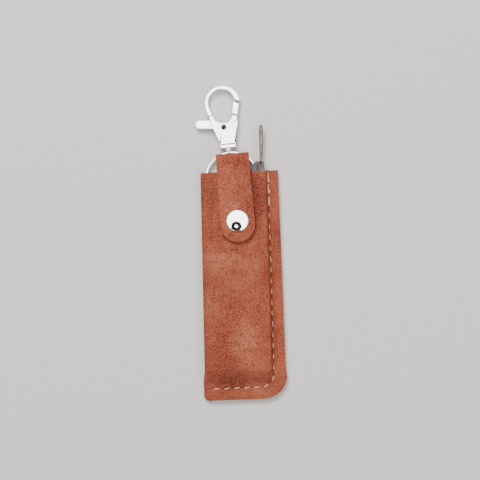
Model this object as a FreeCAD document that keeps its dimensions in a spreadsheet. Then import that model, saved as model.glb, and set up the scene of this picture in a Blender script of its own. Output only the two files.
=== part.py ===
import FreeCAD, Part
import Sketcher
import math
import os

from FreeCAD import Placement, Rotation, Vector

# A key-fob leather sheath for a slim steel pick. All sizes are in millimetres.
# Frame: the sheath lies on its back. +X is to the sewn side, +Y to the mouth and the clasp, +Z up.
# The origin is the centre of the sheath's flat back face.

DIMENSIONS = {
    # sheath leather
    "leather": 1.4,
    "half_length": 52.0,
    "half_width_mouth": 17.7,
    "half_width_low": 18.5,
    "half_width_foot": 19.1,
    "corner_radius": 11.0,
    "small_corner_radius": 1.6,
    "pocket_gap": 4.3,
    "pocket_half_width": 11.7,
    "pocket_floor": -44.2,
    "pocket_full": -37.5,
    "shoulder": 0.9,
    "fold_radius": 0.9,
    # seam
    "seam_side": 12.9,
    "seam_foot": -46.5,
    "seam_foot_slope": 0.8,
    "seam_corner": 6.0,
    "seam_foot_run": 21.8,
    "stitch_pitch": 4.95,
    "foot_stitch_pitch": 4.55,
    "first_stitch": 20.4,
    "first_back_stitch": 3.25,
    "back_stitch_pitch": 5.3,
    "stitch_length": 2.2,
    "back_stitch_length": 4.2,
    "groove_half_width": 0.55,
    "groove_depth": 0.3,
    "back_groove_depth": 0.75,
    "thread_radius": 0.4,
    # strap, in its own frame: it leans to the left
    "strap_width": 15.0,
    "root_fillet": 1.7,
    "strap_lean": 2.8,
    "strap_crest_across": -3.0,
    "strap_crest_along": 60.2,
    "strap_length": 40.3,
    "strap_gap": 1.3,
    "bend_radius": 1.7,
    "tongue_start": 8.6,
    # snap fastener, at its distance from the crest
    "snap_from_crest": 30.64,
    "cap_radius": 5.0,
    "cap_height": 1.9,
    "stem_radius": 1.0,
    "socket_radius": 4.2,
    "socket_lift": 0.15,
    "socket_bore": 2.25,
    "stud_radius": 1.85,
    "stud_neck": 1.4,
    "post_radius": 1.0,
    "post_head_radius": 4.0,
    "post_head_height": 0.5,
    "snap_wire": 0.2,
    "snap_wire_across": 1.95,
    "snap_wire_height": 0.33,
    "snap_wire_length": 5.4,
    # split ring
    "ring_radius": 11.85,
    "ring_across": -3.3,
    "ring_along": 48.95,
    "ring_wire_width": 1.0,
    "ring_turn": 0.78,
    "ring_lift": 0.15,
    # swivel eye and clasp, in the clasp's own frame: y runs along the post from the collar's foot
    "clasp_lean": 3.9,
    "collar_across": -4.68,
    "collar_along": 62.55,
    "clasp_height": 2.3,
    "eye_radius": 1.65,
    "eye_wire": 0.45,
    "eye_drop": 1.8,
    "swivel_post": 1.05,
    "swivel_head": 1.6,
    "swivel_shoulder": 1.6,
    "shoulder_length": 0.75,
    "running_fit": 0.05,
    "body_thick": 4.4,
    "cheek_thick": 4.0,
    "hook_thick": 3.0,
    "channel": 2.2,
    "lever_thick": 1.9,
    "gate_thick": 2.8,
    "pin_across": -1.06,
    "pin_along": 9.8,
    "pin_radius": 1.0,
    "pin_length": 3.5,
    "coil_radius": 0.75,
    "coil_wire": 0.16,
    # pick
    "pick_left": 5.2,
    "pick_right": 11.35,
    "pick_foot": -36.5,
    "pick_top": 56.3,
    "pick_lift": 3.35,
    "pick_thick": 1.6,
    "shank_across": 9.8,
    "shank_width": 1.9,
    "shank_neck": 1.05,
    "shank_top": 73.0,
    "shank_root": 40.0,
    "shank_thick": 0.7,
}

doc = FreeCAD.newDocument("pick_holder")
sheet = doc.addObject("Spreadsheet::Sheet", "Dims")
for row, (alias, number) in enumerate(DIMENSIONS.items(), start=1):
    sheet.set(f"A{row}", alias)
    sheet.set(f"B{row}", str(number))
    sheet.setAlias(f"B{row}", alias)
doc.recompute()

NODES = []


def size(alias):
    """The sheet's value for that alias."""
    return float(sheet.get(alias))


def bound(owner, **expressions):
    """Binds each property of owner to an expression of the sheet's cells."""
    for path, expression in expressions.items():
        owner.setExpression(path.replace("__", "."), expression)
    return owner


def node(shape_object, label):
    """Marks an object as one separate piece, whose label names its file."""
    shape_object.Label = label
    NODES.append(shape_object)
    return shape_object


def free_shape(label, shape):
    """A piece whose shape is worked out with Part's own functions."""
    feature = doc.addObject("Part::Feature", label)
    feature.Shape = shape
    return node(feature, label)


# ---------------------------------------------------------------- frames of the leaning pieces


def placed_in(owner, lean, across, along, height):
    """Puts owner in a frame that leans to the left by lean degrees, at (across, along, height)."""
    owner.Placement = Placement(Vector(), Rotation(Vector(0, 0, 1), 1.0))
    owner.setExpression("Placement.Rotation.Angle", f"{lean} * 1deg")
    owner.setExpression("Placement.Base.x", f"({across}) * 1mm")
    owner.setExpression("Placement.Base.y", f"({along}) * 1mm")
    owner.setExpression("Placement.Base.z", f"({height}) * 1mm")
    return owner


def in_strap_frame(owner, distance="0", height="0"):
    """The strap's frame: origin at the crest's middle, -y down the strap, z from the back face."""
    lean = "Dims.strap_lean"
    across = f"Dims.strap_crest_across + sin({lean} * 1deg) * ({distance})"
    along = f"Dims.strap_crest_along - cos({lean} * 1deg) * ({distance})"
    return placed_in(owner, lean, across, along, height)


def in_clasp_frame(owner):
    """The clasp's frame: origin where the post's axis meets the collar's foot, +y to the hook."""
    return placed_in(owner, "Dims.clasp_lean", "Dims.collar_across", "Dims.collar_along", "Dims.clasp_height")


def strap_placement():
    lean = Rotation(Vector(0, 0, 1), size("strap_lean"))
    return Placement(Vector(size("strap_crest_across"), size("strap_crest_along"), 0), lean)


def clasp_placement():
    lean = Rotation(Vector(0, 0, 1), size("clasp_lean"))
    return Placement(Vector(size("collar_across"), size("collar_along"), size("clasp_height")), lean)


# ---------------------------------------------------------------- sketches bound to the sheet


def plane_of(body, role):
    return next(f for f in body.Origin.OriginFeatures if f.Role == role)


def pin_corner(sketch, geometry, end, direction, expression):
    """Fixes one coordinate of a sketch point, measured from the sketch's origin."""
    value = float(sketch.evalExpression(expression))
    if abs(value) < 1e-9:
        axis = -2 if direction == "DistanceX" else -1
        sketch.addConstraint(Sketcher.Constraint("PointOnObject", geometry, end, axis))
        return
    if value > 0:
        index = sketch.addConstraint(Sketcher.Constraint(direction, -1, 1, geometry, end, value))
        sketch.setExpression(f"Constraints[{index}]", expression)
        return
    index = sketch.addConstraint(Sketcher.Constraint(direction, geometry, end, -1, 1, -value))
    sketch.setExpression(f"Constraints[{index}]", f"-({expression})")


def arc_middle(start, finish, radius):
    """The middle point of the short arc between two points; a negative radius bulges to the left."""
    chord = finish - start
    half = chord.Length / 2
    rise = abs(radius) - math.sqrt(radius * radius - half * half)
    side = Vector(chord.y, -chord.x, 0).normalize()
    return (start + finish) * 0.5 + side * math.copysign(rise, radius)


def outline(body, name, role, corners, arcs=None):
    """A closed sketch through corners, given as pairs of expressions.

    arcs maps the number of a corner to the radius of the arc that leaves it.
    """
    arcs = arcs or {}
    sketch = body.newObject("Sketcher::SketchObject", name)
    sketch.AttachmentSupport = [(plane_of(body, role), "")]
    sketch.MapMode = "FlatFace"
    points = [Vector(float(sketch.evalExpression(x)), float(sketch.evalExpression(y)), 0) for x, y in corners]
    ends = []
    for number, start in enumerate(points):
        finish = points[(number + 1) % len(points)]
        if number in arcs:
            curve = Part.Arc(start, arc_middle(start, finish, arcs[number]), finish)
        else:
            curve = Part.LineSegment(start, finish)
        geometry = sketch.addGeometry(curve, False)
        forward = (sketch.getPoint(geometry, 1) - start).Length < 1e-6
        ends.append((geometry, (1, 2) if forward else (2, 1)))
    for number, (geometry, (first, _)) in enumerate(ends):
        before, (_, last) = ends[number - 1]
        sketch.addConstraint(Sketcher.Constraint("Coincident", before, last, geometry, first))
        pin_corner(sketch, geometry, first, "DistanceX", corners[number][0])
        pin_corner(sketch, geometry, first, "DistanceY", corners[number][1])
        if number in arcs:
            sketch.addConstraint(Sketcher.Constraint("Radius", geometry, abs(arcs[number])))
    sketch.Visibility = False
    return sketch


def new_body(label):
    return node(doc.addObject("PartDesign::Body", label), label)


def pad(body, sketch, name, length, both_sides=True):
    feature = body.newObject("PartDesign::Pad", name)
    feature.Profile = sketch
    if both_sides:
        feature.Midplane = True
    bound(feature, Length=length)
    return feature


def pocket(body, sketch, name, length):
    feature = body.newObject("PartDesign::Pocket", name)
    feature.Profile = sketch
    feature.Midplane = True
    bound(feature, Length=length)
    return feature


def turned(label, corners, arcs=None):
    """A body turned about its own Z axis from a half profile of (radius, height) corners."""
    body = new_body(label)
    sketch = outline(body, label + "_profile", "XZ_Plane", corners, arcs)
    feature = body.newObject("PartDesign::Revolution", label + "_turning")
    feature.Profile = sketch
    feature.ReferenceAxis = (sketch, ["V_Axis"])
    feature.Angle = 360
    return body


# ---------------------------------------------------------------- sheath leather


def wire(points):
    return Part.makePolygon([Vector(*p) for p in points] + [Vector(*points[0])])


def rounded(start, corner, finish, radius):
    """The tangent points and the arc of that radius at a corner of an outline."""
    back = (start - corner).normalize()
    ahead = (finish - corner).normalize()
    half = back.getAngle(ahead) / 2
    reach = radius / math.tan(half)
    inward = (back + ahead).normalize()
    middle = corner + inward * (radius / math.sin(half) - radius)
    return corner + back * reach, middle, corner + ahead * reach


def layers_outline():
    """The outline of the two layers, seen from above."""
    top, foot = size("half_length"), -size("half_length")
    left_top = Vector(-size("half_width_mouth") + size("pocket_gap") / 2, top, 0)
    left_foot = Vector(-size("half_width_foot"), foot, 0)
    left_low = Vector(-size("half_width_foot"), size("pocket_floor"), 0)
    right_foot = Vector(size("half_width_foot"), foot, 0)
    right_low = Vector(size("half_width_low"), size("pocket_full"), 0)
    right_top = Vector(size("half_width_mouth"), top, 0)
    small = rounded(left_low, left_foot, right_foot, size("small_corner_radius"))
    large = rounded(left_foot, right_foot, right_low, size("corner_radius"))
    edges = [
        Part.makeLine(left_top, left_low),
        Part.makeLine(left_low, small[0]),
        Part.Arc(*small).toShape(),
        Part.makeLine(small[2], large[0]),
        Part.Arc(*large).toShape(),
        Part.makeLine(large[2], right_low),
        Part.makeLine(right_low, right_top),
        Part.makeLine(right_top, left_top),
    ]
    return Part.Face(Part.Wire(edges))


def tube_section(along, left, ceiling, grow):
    """A cross-section of the pocket at that station, grown by the leather's thickness or by 0."""
    floor = size("leather") - grow
    top = ceiling + grow
    half = (top - floor) / 2
    right = size("pocket_half_width") + 0.6 * grow
    shoulder = min(size("shoulder"), half * 0.6)
    curl = min(size("fold_radius") + grow, half * 0.8)
    wall = left + size("leather") - grow
    slack = curl * (1 - math.sqrt(0.5))
    fold = Vector(wall + curl, along, floor)
    fold_low = Vector(wall, along, floor + curl)
    fold_high = Vector(wall, along, top - curl)
    fold_top = Vector(wall + curl, along, top)
    fold_middles = [Vector(wall + slack, along, z) for z in (floor + slack, top - slack)]
    corner_low = Vector(right, along, floor)
    corner_high = Vector(right, along, top - shoulder)
    corner_top = Vector(right - shoulder, along, top)
    edges = [
        Part.makeLine(fold, corner_low),
        Part.makeLine(corner_low, corner_high),
        Part.makeLine(corner_high, corner_top),
        Part.makeLine(corner_top, fold_top),
        Part.Arc(fold_top, fold_middles[1], fold_high).toShape(),
        Part.makeLine(fold_high, fold_low),
        Part.Arc(fold_low, fold_middles[0], fold).toShape(),
    ]
    return Part.Wire(edges)


def tube(grow, overrun):
    """The pocket, or with grow the leather round it, lofted from the flat foot to the mouth."""
    ceiling = size("leather") + size("pocket_gap")
    flat = size("leather") + 0.05
    mouth = -size("half_width_mouth")
    low = -size("half_width_low")
    foot = -size("half_width_foot")
    stations = [
        (size("pocket_floor") - grow, foot, flat),
        (size("pocket_full"), low, ceiling),
        (size("half_length") + overrun, mouth, ceiling),
    ]
    sections = [tube_section(along, left, top, grow) for along, left, top in stations]
    return Part.makeLoft(sections, True, True)


def strip(profile_edges):
    """A strip of the strap's width, from an outline at the strap's left edge."""
    face = Part.Face(Part.Wire(profile_edges))
    return face.extrude(Vector(size("strap_width"), 0, 0))


def polar(centre, radius, degrees):
    angle = math.radians(degrees)
    left = Vector(-size("strap_width") / 2, 0, 0)
    return centre + left + Vector(0, radius * math.cos(angle), radius * math.sin(angle))


def sector(centre, radius, first, last):
    """A bent stretch of strap about centre, between two angles, on that middle radius."""
    half = size("leather") / 2
    middle = (first + last) / 2
    inner = [polar(centre, radius - half, a) for a in (first, middle, last)]
    outer = [polar(centre, radius + half, a) for a in (first, middle, last)]
    return strip([
        Part.Arc(*inner).toShape(),
        Part.makeLine(inner[2], outer[2]),
        Part.Arc(*outer).toShape(),
        Part.makeLine(outer[0], inner[0]),
    ])


def leaf_middle():
    """Height of the front leaf's middle over the back face."""
    return 2 * size("leather") + size("pocket_gap") + size("strap_gap") + size("leather") / 2


def bend_centre():
    reach = size("bend_radius") + size("leather") / 2
    return Vector(0, -reach, leaf_middle() - size("bend_radius"))


def tongue_turn():
    """The tongue's rising arc: its radius and its angle in degrees."""
    small = size("bend_radius")
    rise = leaf_middle() - size("leather") / 2
    run = size("tongue_start") - size("leather") / 2 - small
    half = math.atan((rise - 2 * small) / run)
    radius = run / math.sin(2 * half) + small
    return radius, math.degrees(2 * half)


def seam_groove(floor, height):
    """The groove that the stitches lie in, a shallow channel along the whole seam."""
    side, foot, corner = size("seam_side"), size("seam_foot"), size("seam_corner")
    centre = Vector(side - corner, foot + corner, 0)
    run = size("seam_foot_run")
    drop = run * math.tan(math.radians(size("seam_foot_slope")))
    start = Vector(side, size("half_length") + 1, 0)
    turn = Vector(side, centre.y, 0)
    middle = centre + Vector(corner * math.sqrt(0.5), -corner * math.sqrt(0.5), 0)
    low = Vector(centre.x, foot, 0)
    end = Vector(centre.x - run, foot - drop, 0)
    path = Part.Wire([
        Part.makeLine(start, turn),
        Part.Arc(turn, middle, low).toShape(),
        Part.makeLine(low, end),
    ])
    face = Part.Face(path.makeOffset2D(size("groove_half_width")))
    face.translate(Vector(0, 0, floor))
    return face.extrude(Vector(0, 0, height))


def root_fillets():
    """The rounded inside corners where the tongue leaves the back's edge."""
    radius, half, top = size("root_fillet"), size("strap_width") / 2, size("half_length")
    lean = math.tan(math.radians(size("strap_lean")))
    middle = size("strap_crest_across") + (size("strap_crest_along") - top) * lean
    fillets = []
    for side in (-1, 1):
        near, far = middle + side * (half - 1), middle + side * (half + radius)
        corner = Vector(min(near, far), top - 0.5, 0)
        block = Part.makeBox(abs(far - near), radius + 0.5, size("leather"), corner)
        fillets.append(block.cut(Part.makeCylinder(radius, 10, Vector(far, top + radius, -5))))
    return fillets[0].fuse(fillets[1])


def sheath_leather():
    thick = size("leather")
    layers = layers_outline().extrude(Vector(0, 0, 2 * thick))
    outer = layers.fuse(tube(thick, 0.0))
    radius, turn = tongue_turn()
    tongue_centre = Vector(0, -size("tongue_start"), thick / 2 + radius)
    tongue = sector(tongue_centre, radius, -90, -90 + turn)
    tongue.Placement = strap_placement()
    ring_room = Part.makeCylinder(
        size("ring_radius") - size("ring_wire_width") / 2 - 0.2,
        40,
        Vector(size("ring_across"), size("ring_along"), -20),
    )
    side_room = Part.makeBox(60, 60, 40, Vector(-30, size("half_length") - 60, -20))
    tongue = tongue.common(ring_room.fuse(side_room))
    hollow = outer.cut(tube(0.0, 1.0))
    post_hole = Part.makeCylinder(size("post_radius"), 20)
    post_hole.Placement = snap_spot()
    whole = hollow.fuse(tongue).fuse(root_fillets()).cut(post_hole)
    front = seam_groove(2 * thick - size("groove_depth"), 0.6)
    back = seam_groove(-0.5, 0.5 + size("back_groove_depth"))
    return whole.cut(front).cut(back).removeSplitter()


def snap_spot():
    """The snap's axis, from the back face up."""
    return strap_placement().multiply(Placement(Vector(0, -size("snap_from_crest"), 0), Rotation()))


def strap_bend():
    _, turn = tongue_turn()
    bend = sector(bend_centre(), size("bend_radius"), -90 + turn, 90)
    bend.Placement = strap_placement()
    return bend


def strap_flap():
    thick = size("leather")
    half = size("strap_width") / 2
    root = bend_centre().y
    end = -size("strap_length") + half
    base = leaf_middle() - thick / 2
    leaf = Part.makeBox(2 * half, root - end, thick, Vector(-half, end, base))
    leaf = leaf.fuse(Part.makeCylinder(half, thick, Vector(0, end, base)))
    leaf = leaf.cut(Part.makeCylinder(size("stem_radius"), 20, Vector(0, -size("snap_from_crest"), 0)))
    leaf = leaf.removeSplitter()
    leaf.Placement = strap_placement()
    return leaf


# ---------------------------------------------------------------- seam


def seam_station(run):
    """The place and direction that far along the seam: down the side, round the corner, to the left."""
    side, foot, corner = size("seam_side"), size("seam_foot"), size("seam_corner")
    straight = size("half_length") - (foot + corner)
    bend = corner * math.pi / 2
    if run < straight:
        return Vector(side, size("half_length") - run, 0), -90.0
    if run < straight + bend:
        angle = -(run - straight) / corner
        centre = Vector(side - corner, foot + corner, 0)
        place = centre + Vector(corner * math.cos(angle), corner * math.sin(angle), 0)
        return place, math.degrees(angle) - 90.0
    left = run - straight - bend
    slope = size("seam_foot_slope")
    drop = left * math.tan(math.radians(slope))
    return Vector(side - corner - left, foot - drop, 0), 180.0 + slope


def stitch(place, degrees, height, length):
    """One visible stitch: a round-ended length of thread."""
    radius = size("thread_radius")
    straight = length - 2 * radius
    solid = Part.makeCylinder(radius, straight, Vector(-straight / 2, 0, 0), Vector(1, 0, 0))
    for end in (-straight / 2, straight / 2):
        solid = solid.fuse(Part.makeSphere(radius, Vector(end, 0, 0)))
    spot = Vector(place.x, place.y, height)
    solid.Placement = Placement(spot, Rotation(Vector(0, 0, 1), degrees))
    return solid


def stitch_row(height):
    """A row of stitches: long ones sewn over twice at the mouth, then single ones to the fold."""
    back, side, foot = 3, 16, 6
    runs = [size("first_back_stitch") + k * size("back_stitch_pitch") for k in range(back)]
    runs += [size("first_stitch") + k * size("stitch_pitch") for k in range(side)]
    last = runs[-1]
    runs += [last + k * size("foot_stitch_pitch") for k in range(1, foot + 1)]
    lengths = [size("back_stitch_length")] * back + [size("stitch_length")] * (side + foot)
    return Part.makeCompound([
        stitch(*seam_station(run), height, length) for run, length in zip(runs, lengths)
    ])


def needle_thread():
    return stitch_row(2 * size("leather") + 0.05)


def bobbin_thread():
    return stitch_row(size("thread_radius") + 0.02)


free_shape("sheath_leather", sheath_leather())
free_shape("strap_bend", strap_bend())
free_shape("strap_flap", strap_flap())
free_shape("needle_thread", needle_thread())
free_shape("bobbin_thread", bobbin_thread())

# ---------------------------------------------------------------- snap fastener

LEAF_TOP = "(Dims.leather * 3 + Dims.pocket_gap + Dims.strap_gap)"
LEAF_FOOT = "(Dims.leather * 2 + Dims.pocket_gap + Dims.strap_gap)"
PANEL_TOP = "(Dims.leather * 2 + Dims.pocket_gap)"
PANEL_FOOT = "(Dims.leather + Dims.pocket_gap)"


def dome_radius(radius, rise):
    """The sphere's radius of a dome that rises so much over a circle."""
    return (radius * radius + rise * rise) / (2 * rise)


def snap_cap():
    """A dome with a rolled rim on the strap, and its stem down through the leather."""
    rim = "0.35"
    dome = dome_radius(size("cap_radius") - 0.4, size("cap_height") - 0.8)
    cap = turned("snap_cap", [
        ("0", "-Dims.leather - 0.15"),
        ("Dims.stem_radius", "-Dims.leather - 0.15"),
        ("Dims.stem_radius", "0"),
        ("Dims.cap_radius - 0.3", "0"),
        ("Dims.cap_radius", rim),
        ("Dims.cap_radius - 0.4", "0.8"),
        ("0", "Dims.cap_height"),
    ], {5: dome})
    return in_strap_frame(cap, "Dims.snap_from_crest", LEAF_TOP)


def snap_stud():
    """The stud on the sheath: a flange, a neck and a round head, hollow for the post."""
    stud = turned("snap_stud", [
        ("Dims.post_radius", "0"),
        ("2.9", "0"),
        ("2.9", "0.08"),
        ("Dims.stud_neck", "0.08"),
        ("Dims.stud_neck", "0.45"),
        ("Dims.stud_radius", "0.6"),
        ("Dims.stud_radius", "0.85"),
        ("Dims.post_radius + 0.3", "1.05"),
        ("Dims.post_radius", "1.05"),
    ])
    return in_strap_frame(stud, "Dims.snap_from_crest", PANEL_TOP)


def snap_socket():
    """The socket under the strap: a cup with a groove inside for its two wires."""
    socket = turned("snap_socket", [
        ("Dims.socket_bore", "Dims.socket_lift"),
        ("Dims.socket_radius - 0.3", "Dims.socket_lift"),
        ("Dims.socket_radius", "Dims.socket_lift + 0.3"),
        ("Dims.socket_radius", "Dims.strap_gap"),
        ("Dims.stem_radius", "Dims.strap_gap"),
        ("Dims.stem_radius", "Dims.strap_gap - 0.12"),
        ("Dims.socket_bore", "Dims.strap_gap - 0.12"),
        ("Dims.socket_bore", "0.65"),
        ("3.0", "0.65"),
        ("3.0", "0.25"),
        ("Dims.socket_bore", "0.25"),
    ])
    return in_strap_frame(socket, "Dims.snap_from_crest", PANEL_TOP)


def snap_post():
    """The flat head in the pocket and the tube that holds the stud."""
    post = turned("snap_post", [
        ("0", "-Dims.leather - Dims.post_head_height"),
        ("Dims.post_head_radius - 0.2", "-Dims.leather - Dims.post_head_height"),
        ("Dims.post_head_radius", "-Dims.leather - Dims.post_head_height + 0.2"),
        ("Dims.post_head_radius", "-Dims.leather"),
        ("Dims.post_radius", "-Dims.leather"),
        ("Dims.post_radius", "1.0"),
        ("0", "1.0"),
    ])
    return in_strap_frame(post, "Dims.snap_from_crest", PANEL_TOP)


def rod(name, radius, length, turn):
    """A bound cylinder, laid along the axis that turn gives."""
    cylinder = doc.addObject("Part::Cylinder", name)
    bound(cylinder, Radius=radius, Height=length)
    cylinder.Placement = Placement(Vector(), turn)
    return cylinder


ALONG_Y = Rotation(Vector(1, 0, 0), -90)
ALONG_Z = Rotation()


def at(owner, **places):
    """Binds the position of owner: x, y and z are expressions."""
    for axis, expression in places.items():
        owner.setExpression(f"Placement.Base.{axis}", f"({expression}) * 1mm")
    return owner


def joined(kind, name, first, second):
    result = doc.addObject(kind, name)
    result.Base = first
    result.Tool = second
    return result


def group_of(name, pieces):
    result = doc.addObject("Part::Compound", name)
    result.Links = pieces
    return result


def snap_spring():
    """The two parallel wires that grip the stud's neck."""
    wires = []
    for side in ("-1", "1"):
        wire_rod = rod("snap_wire", "Dims.snap_wire", "Dims.snap_wire_length", ALONG_Y)
        across = f"{side} * Dims.snap_wire_across"
        at(wire_rod, x=across, y="-Dims.snap_wire_length / 2", z="Dims.snap_wire_height")
        wires.append(wire_rod)
    spring = node(group_of("snap_spring", wires), "snap_spring")
    return in_strap_frame(spring, "Dims.snap_from_crest", PANEL_TOP)


# ---------------------------------------------------------------- split ring


def split_ring():
    """Two flat turns with a slit between them, joined at the crossing, each with its open end."""
    full = "(2 * Dims.ring_turn + 0.04)"
    outer = rod("ring_outer", "Dims.ring_radius + Dims.ring_wire_width / 2", full, ALONG_Z)
    inner = rod("ring_inner", "Dims.ring_radius - Dims.ring_wire_width / 2", full, ALONG_Z)
    slit_disc = rod("ring_slit_disc", "Dims.ring_radius * 1.2", "0.04", ALONG_Z)
    at(slit_disc, z="Dims.ring_turn")
    bridge = doc.addObject("Part::Box", "ring_bridge")
    bound(bridge, Length="3", Width="4", Height="0.04")
    at(bridge, x="-1.5", y="-Dims.ring_radius - 2", z="Dims.ring_turn")
    slit = joined("Part::Cut", "ring_slit", slit_disc, bridge)
    ends = []
    for number, (shift, lift) in enumerate((("1.5", "Dims.ring_turn + 0.02"), ("-1.7", "-1"))):
        gap = doc.addObject("Part::Box", f"ring_end_{number}")
        bound(gap, Length="0.2", Width="4", Height="Dims.ring_turn + 1.02" if number else "2")
        at(gap, x=shift, y="-Dims.ring_radius - 2", z=lift)
        ends.append(gap)
    turns = joined("Part::Cut", "ring_turns", joined("Part::Cut", "ring_tube", outer, inner), slit)
    first_end = joined("Part::Cut", "ring_with_one_end", turns, ends[0])
    ring = node(joined("Part::Cut", "split_ring", first_end, ends[1]), "split_ring")
    return at(ring, x="Dims.ring_across", y="Dims.ring_along", z="Dims.leather + Dims.ring_lift")


# ---------------------------------------------------------------- swivel eye


def swivel_eye():
    """An eye on the ring's wire, its shoulder and post, and the riveted head inside the clasp."""
    eye = doc.addObject("Part::Torus", "eye_loop")
    bound(eye, Radius1="Dims.eye_radius", Radius2="Dims.eye_wire")
    eye.Placement = Placement(Vector(), Rotation(Vector(0, 1, 0), 90))
    at(eye, y="-Dims.eye_drop")
    post = rod("eye_post", "Dims.swivel_post", "2.4 + Dims.eye_drop - Dims.eye_radius", ALONG_Y)
    at(post, y="Dims.eye_radius - Dims.eye_drop")
    head = rod("eye_head", "Dims.swivel_head", "0.8", ALONG_Y)
    at(head, y="2.2")
    shoulder = rod("eye_shoulder", "Dims.swivel_shoulder", "Dims.shoulder_length", ALONG_Y)
    at(shoulder, y="-0.1 - Dims.shoulder_length")
    stem = joined("Part::Fuse", "eye_stem", joined("Part::Fuse", "eye_neck", post, shoulder), head)
    return in_clasp_frame(node(joined("Part::Fuse", "swivel_eye", eye, stem), "swivel_eye"))


# ---------------------------------------------------------------- clasp

HOOK_RADIUS = 8.2
HOOK_INNER_RADIUS = 5.96


def pin_hole(body, name, radius):
    """A circle round the gate pin's axis."""
    sketch = body.newObject("Sketcher::SketchObject", name)
    sketch.AttachmentSupport = [(plane_of(body, "XY_Plane"), "")]
    sketch.MapMode = "FlatFace"
    centre = Vector(size("pin_across"), size("pin_along"), 0)
    sketch.addGeometry(Part.Circle(centre, Vector(0, 0, 1), size("pin_radius")), False)
    pin_corner(sketch, 0, 3, "DistanceX", "Dims.pin_across")
    pin_corner(sketch, 0, 3, "DistanceY", "Dims.pin_along")
    index = sketch.addConstraint(Sketcher.Constraint("Radius", 0, size("pin_radius")))
    sketch.setExpression(f"Constraints[{index}]", radius)
    sketch.Visibility = False
    return sketch


def clasp_body():
    """One casting: the hook, two cheeks with a channel between them, and the collar."""
    body = new_body("clasp_body")
    hook = outline(body, "hook_outline", "XY_Plane", [
        ("-3.4", "1.9"),
        ("-6.0", "9.15"),
        ("-8.39", "18.1"),
        ("-0.65", "29.0"),
        ("7.545", "20.5"),
        ("4.88", "21.8"),
        ("-1.03", "27.01"),
        ("-6.75", "19.4"),
        ("-4.75", "13.6"),
        ("-1.2", "12.0"),
        ("5.3", "13.1"),
        ("5.65", "11.0"),
        ("3.4", "1.9"),
    ], {2: -HOOK_RADIUS, 3: -HOOK_RADIUS, 5: HOOK_INNER_RADIUS, 6: HOOK_INNER_RADIUS, 8: 5.0, 9: 14.0})
    pad(body, hook, "hook_pad", "Dims.hook_thick")
    cheeks = outline(body, "cheek_outline", "XY_Plane", [
        ("-3.4", "1.9"),
        ("-6.0", "9.15"),
        ("-6.0 - 0.7 * 2.39", "9.15 + 0.7 * 8.95"),
        ("-6.75 + 0.63 * 2", "19.4 - 0.63 * 5.8"),
        ("-4.75", "13.6"),
        ("-1.2", "12.0"),
        ("5.3", "13.1"),
        ("5.65", "11.0"),
        ("3.4", "1.9"),
    ], {4: 5.0, 5: 14.0})
    pad(body, cheeks, "cheek_pad", "Dims.cheek_thick")
    collar = outline(body, "collar_outline", "XY_Plane", [
        ("-3.7", "0.05"), ("3.7", "0.05"), ("3.7", "1.6"), ("3.2", "1.75"),
        ("3.2", "2.0"), ("-3.2", "2.0"), ("-3.2", "1.75"), ("-3.7", "1.6"),
    ])
    pad(body, collar, "collar_pad", "Dims.body_thick")
    channel = outline(body, "channel_outline", "XY_Plane", [
        ("-10", "5.2"), ("3.4", "5.2"), ("4.3", "8.8"), ("8", "9.4"), ("8", "14.4"), ("-10", "14.4"),
    ])
    pocket(body, channel, "channel", "Dims.channel")
    bore = outline(body, "bore_profile", "XY_Plane", [
        ("0", "-1"),
        ("Dims.swivel_post + Dims.running_fit", "-1"),
        ("Dims.swivel_post + Dims.running_fit", "2.1"),
        ("Dims.swivel_head + 0.1", "2.1"),
        ("Dims.swivel_head + 0.1", "3.2"),
        ("0", "3.2"),
    ])
    groove = body.newObject("PartDesign::Groove", "swivel_bore")
    groove.Profile = bore
    groove.ReferenceAxis = (bore, ["V_Axis"])
    groove.Angle = 360
    hole_sketch = pin_hole(body, "pin_hole_outline", "Dims.pin_radius")
    pocket(body, hole_sketch, "pin_hole", "2 * Dims.body_thick")
    return in_clasp_frame(body)


def gate_lever():
    """Thumb tab, hub and gate in one lever."""
    body = new_body("gate_lever")
    arm = outline(body, "lever_outline", "XY_Plane", [
        ("-11.68", "14.19"),
        ("-12.12", "10.01"),
        ("-6.5", "9.45"),
        ("-4.5", "7.8"),
        ("0.9", "7.8"),
        ("3.2", "9.2"),
        ("5.45", "12.6"),
        ("5.5", "14.9"),
        ("3.3", "15.3"),
        ("2.3", "13.0"),
        ("1.0", "11.9"),
        ("-3.4", "11.7"),
        ("-6.21", "13.62"),
    ], {0: 2.102})
    pad(body, arm, "lever_pad", "Dims.lever_thick")
    gate = outline(body, "gate_outline", "XY_Plane", [
        ("3.17", "15.5"), ("5.6", "14.66"), ("7.08", "19.96"), ("4.16", "21.3"),
    ])
    pad(body, gate, "gate_pad", "Dims.gate_thick")
    hole_sketch = pin_hole(body, "lever_hole_outline", "Dims.pin_radius + Dims.running_fit")
    pocket(body, hole_sketch, "lever_hole", "2 * Dims.lever_thick")
    return in_clasp_frame(body)


def gate_pin():
    pin = rod("gate_pin_rod", "Dims.pin_radius", "Dims.pin_length", ALONG_Z)
    at(pin, x="Dims.pin_across", y="Dims.pin_along", z="-Dims.pin_length / 2")
    return in_clasp_frame(node(group_of("gate_pin", [pin]), "gate_pin"))


def gate_spring():
    """A small coil between the channel's floor and the lever."""
    turns, length = 5, 2.1
    helix = Part.makeHelix(length / turns, length, size("coil_radius"))
    start = Part.Wire(Part.makeCircle(size("coil_wire"), Vector(size("coil_radius"), 0, 0), Vector(0, 1, 0)))
    coil = Part.Wire(helix).makePipeShell([start], True, True)
    coil.Placement = Placement(Vector(-3.2, 5.2 + 0.25, 0), ALONG_Y)
    coil = coil.transformed(clasp_placement().toMatrix())
    return free_shape("gate_spring", coil)


# ---------------------------------------------------------------- pick


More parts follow.
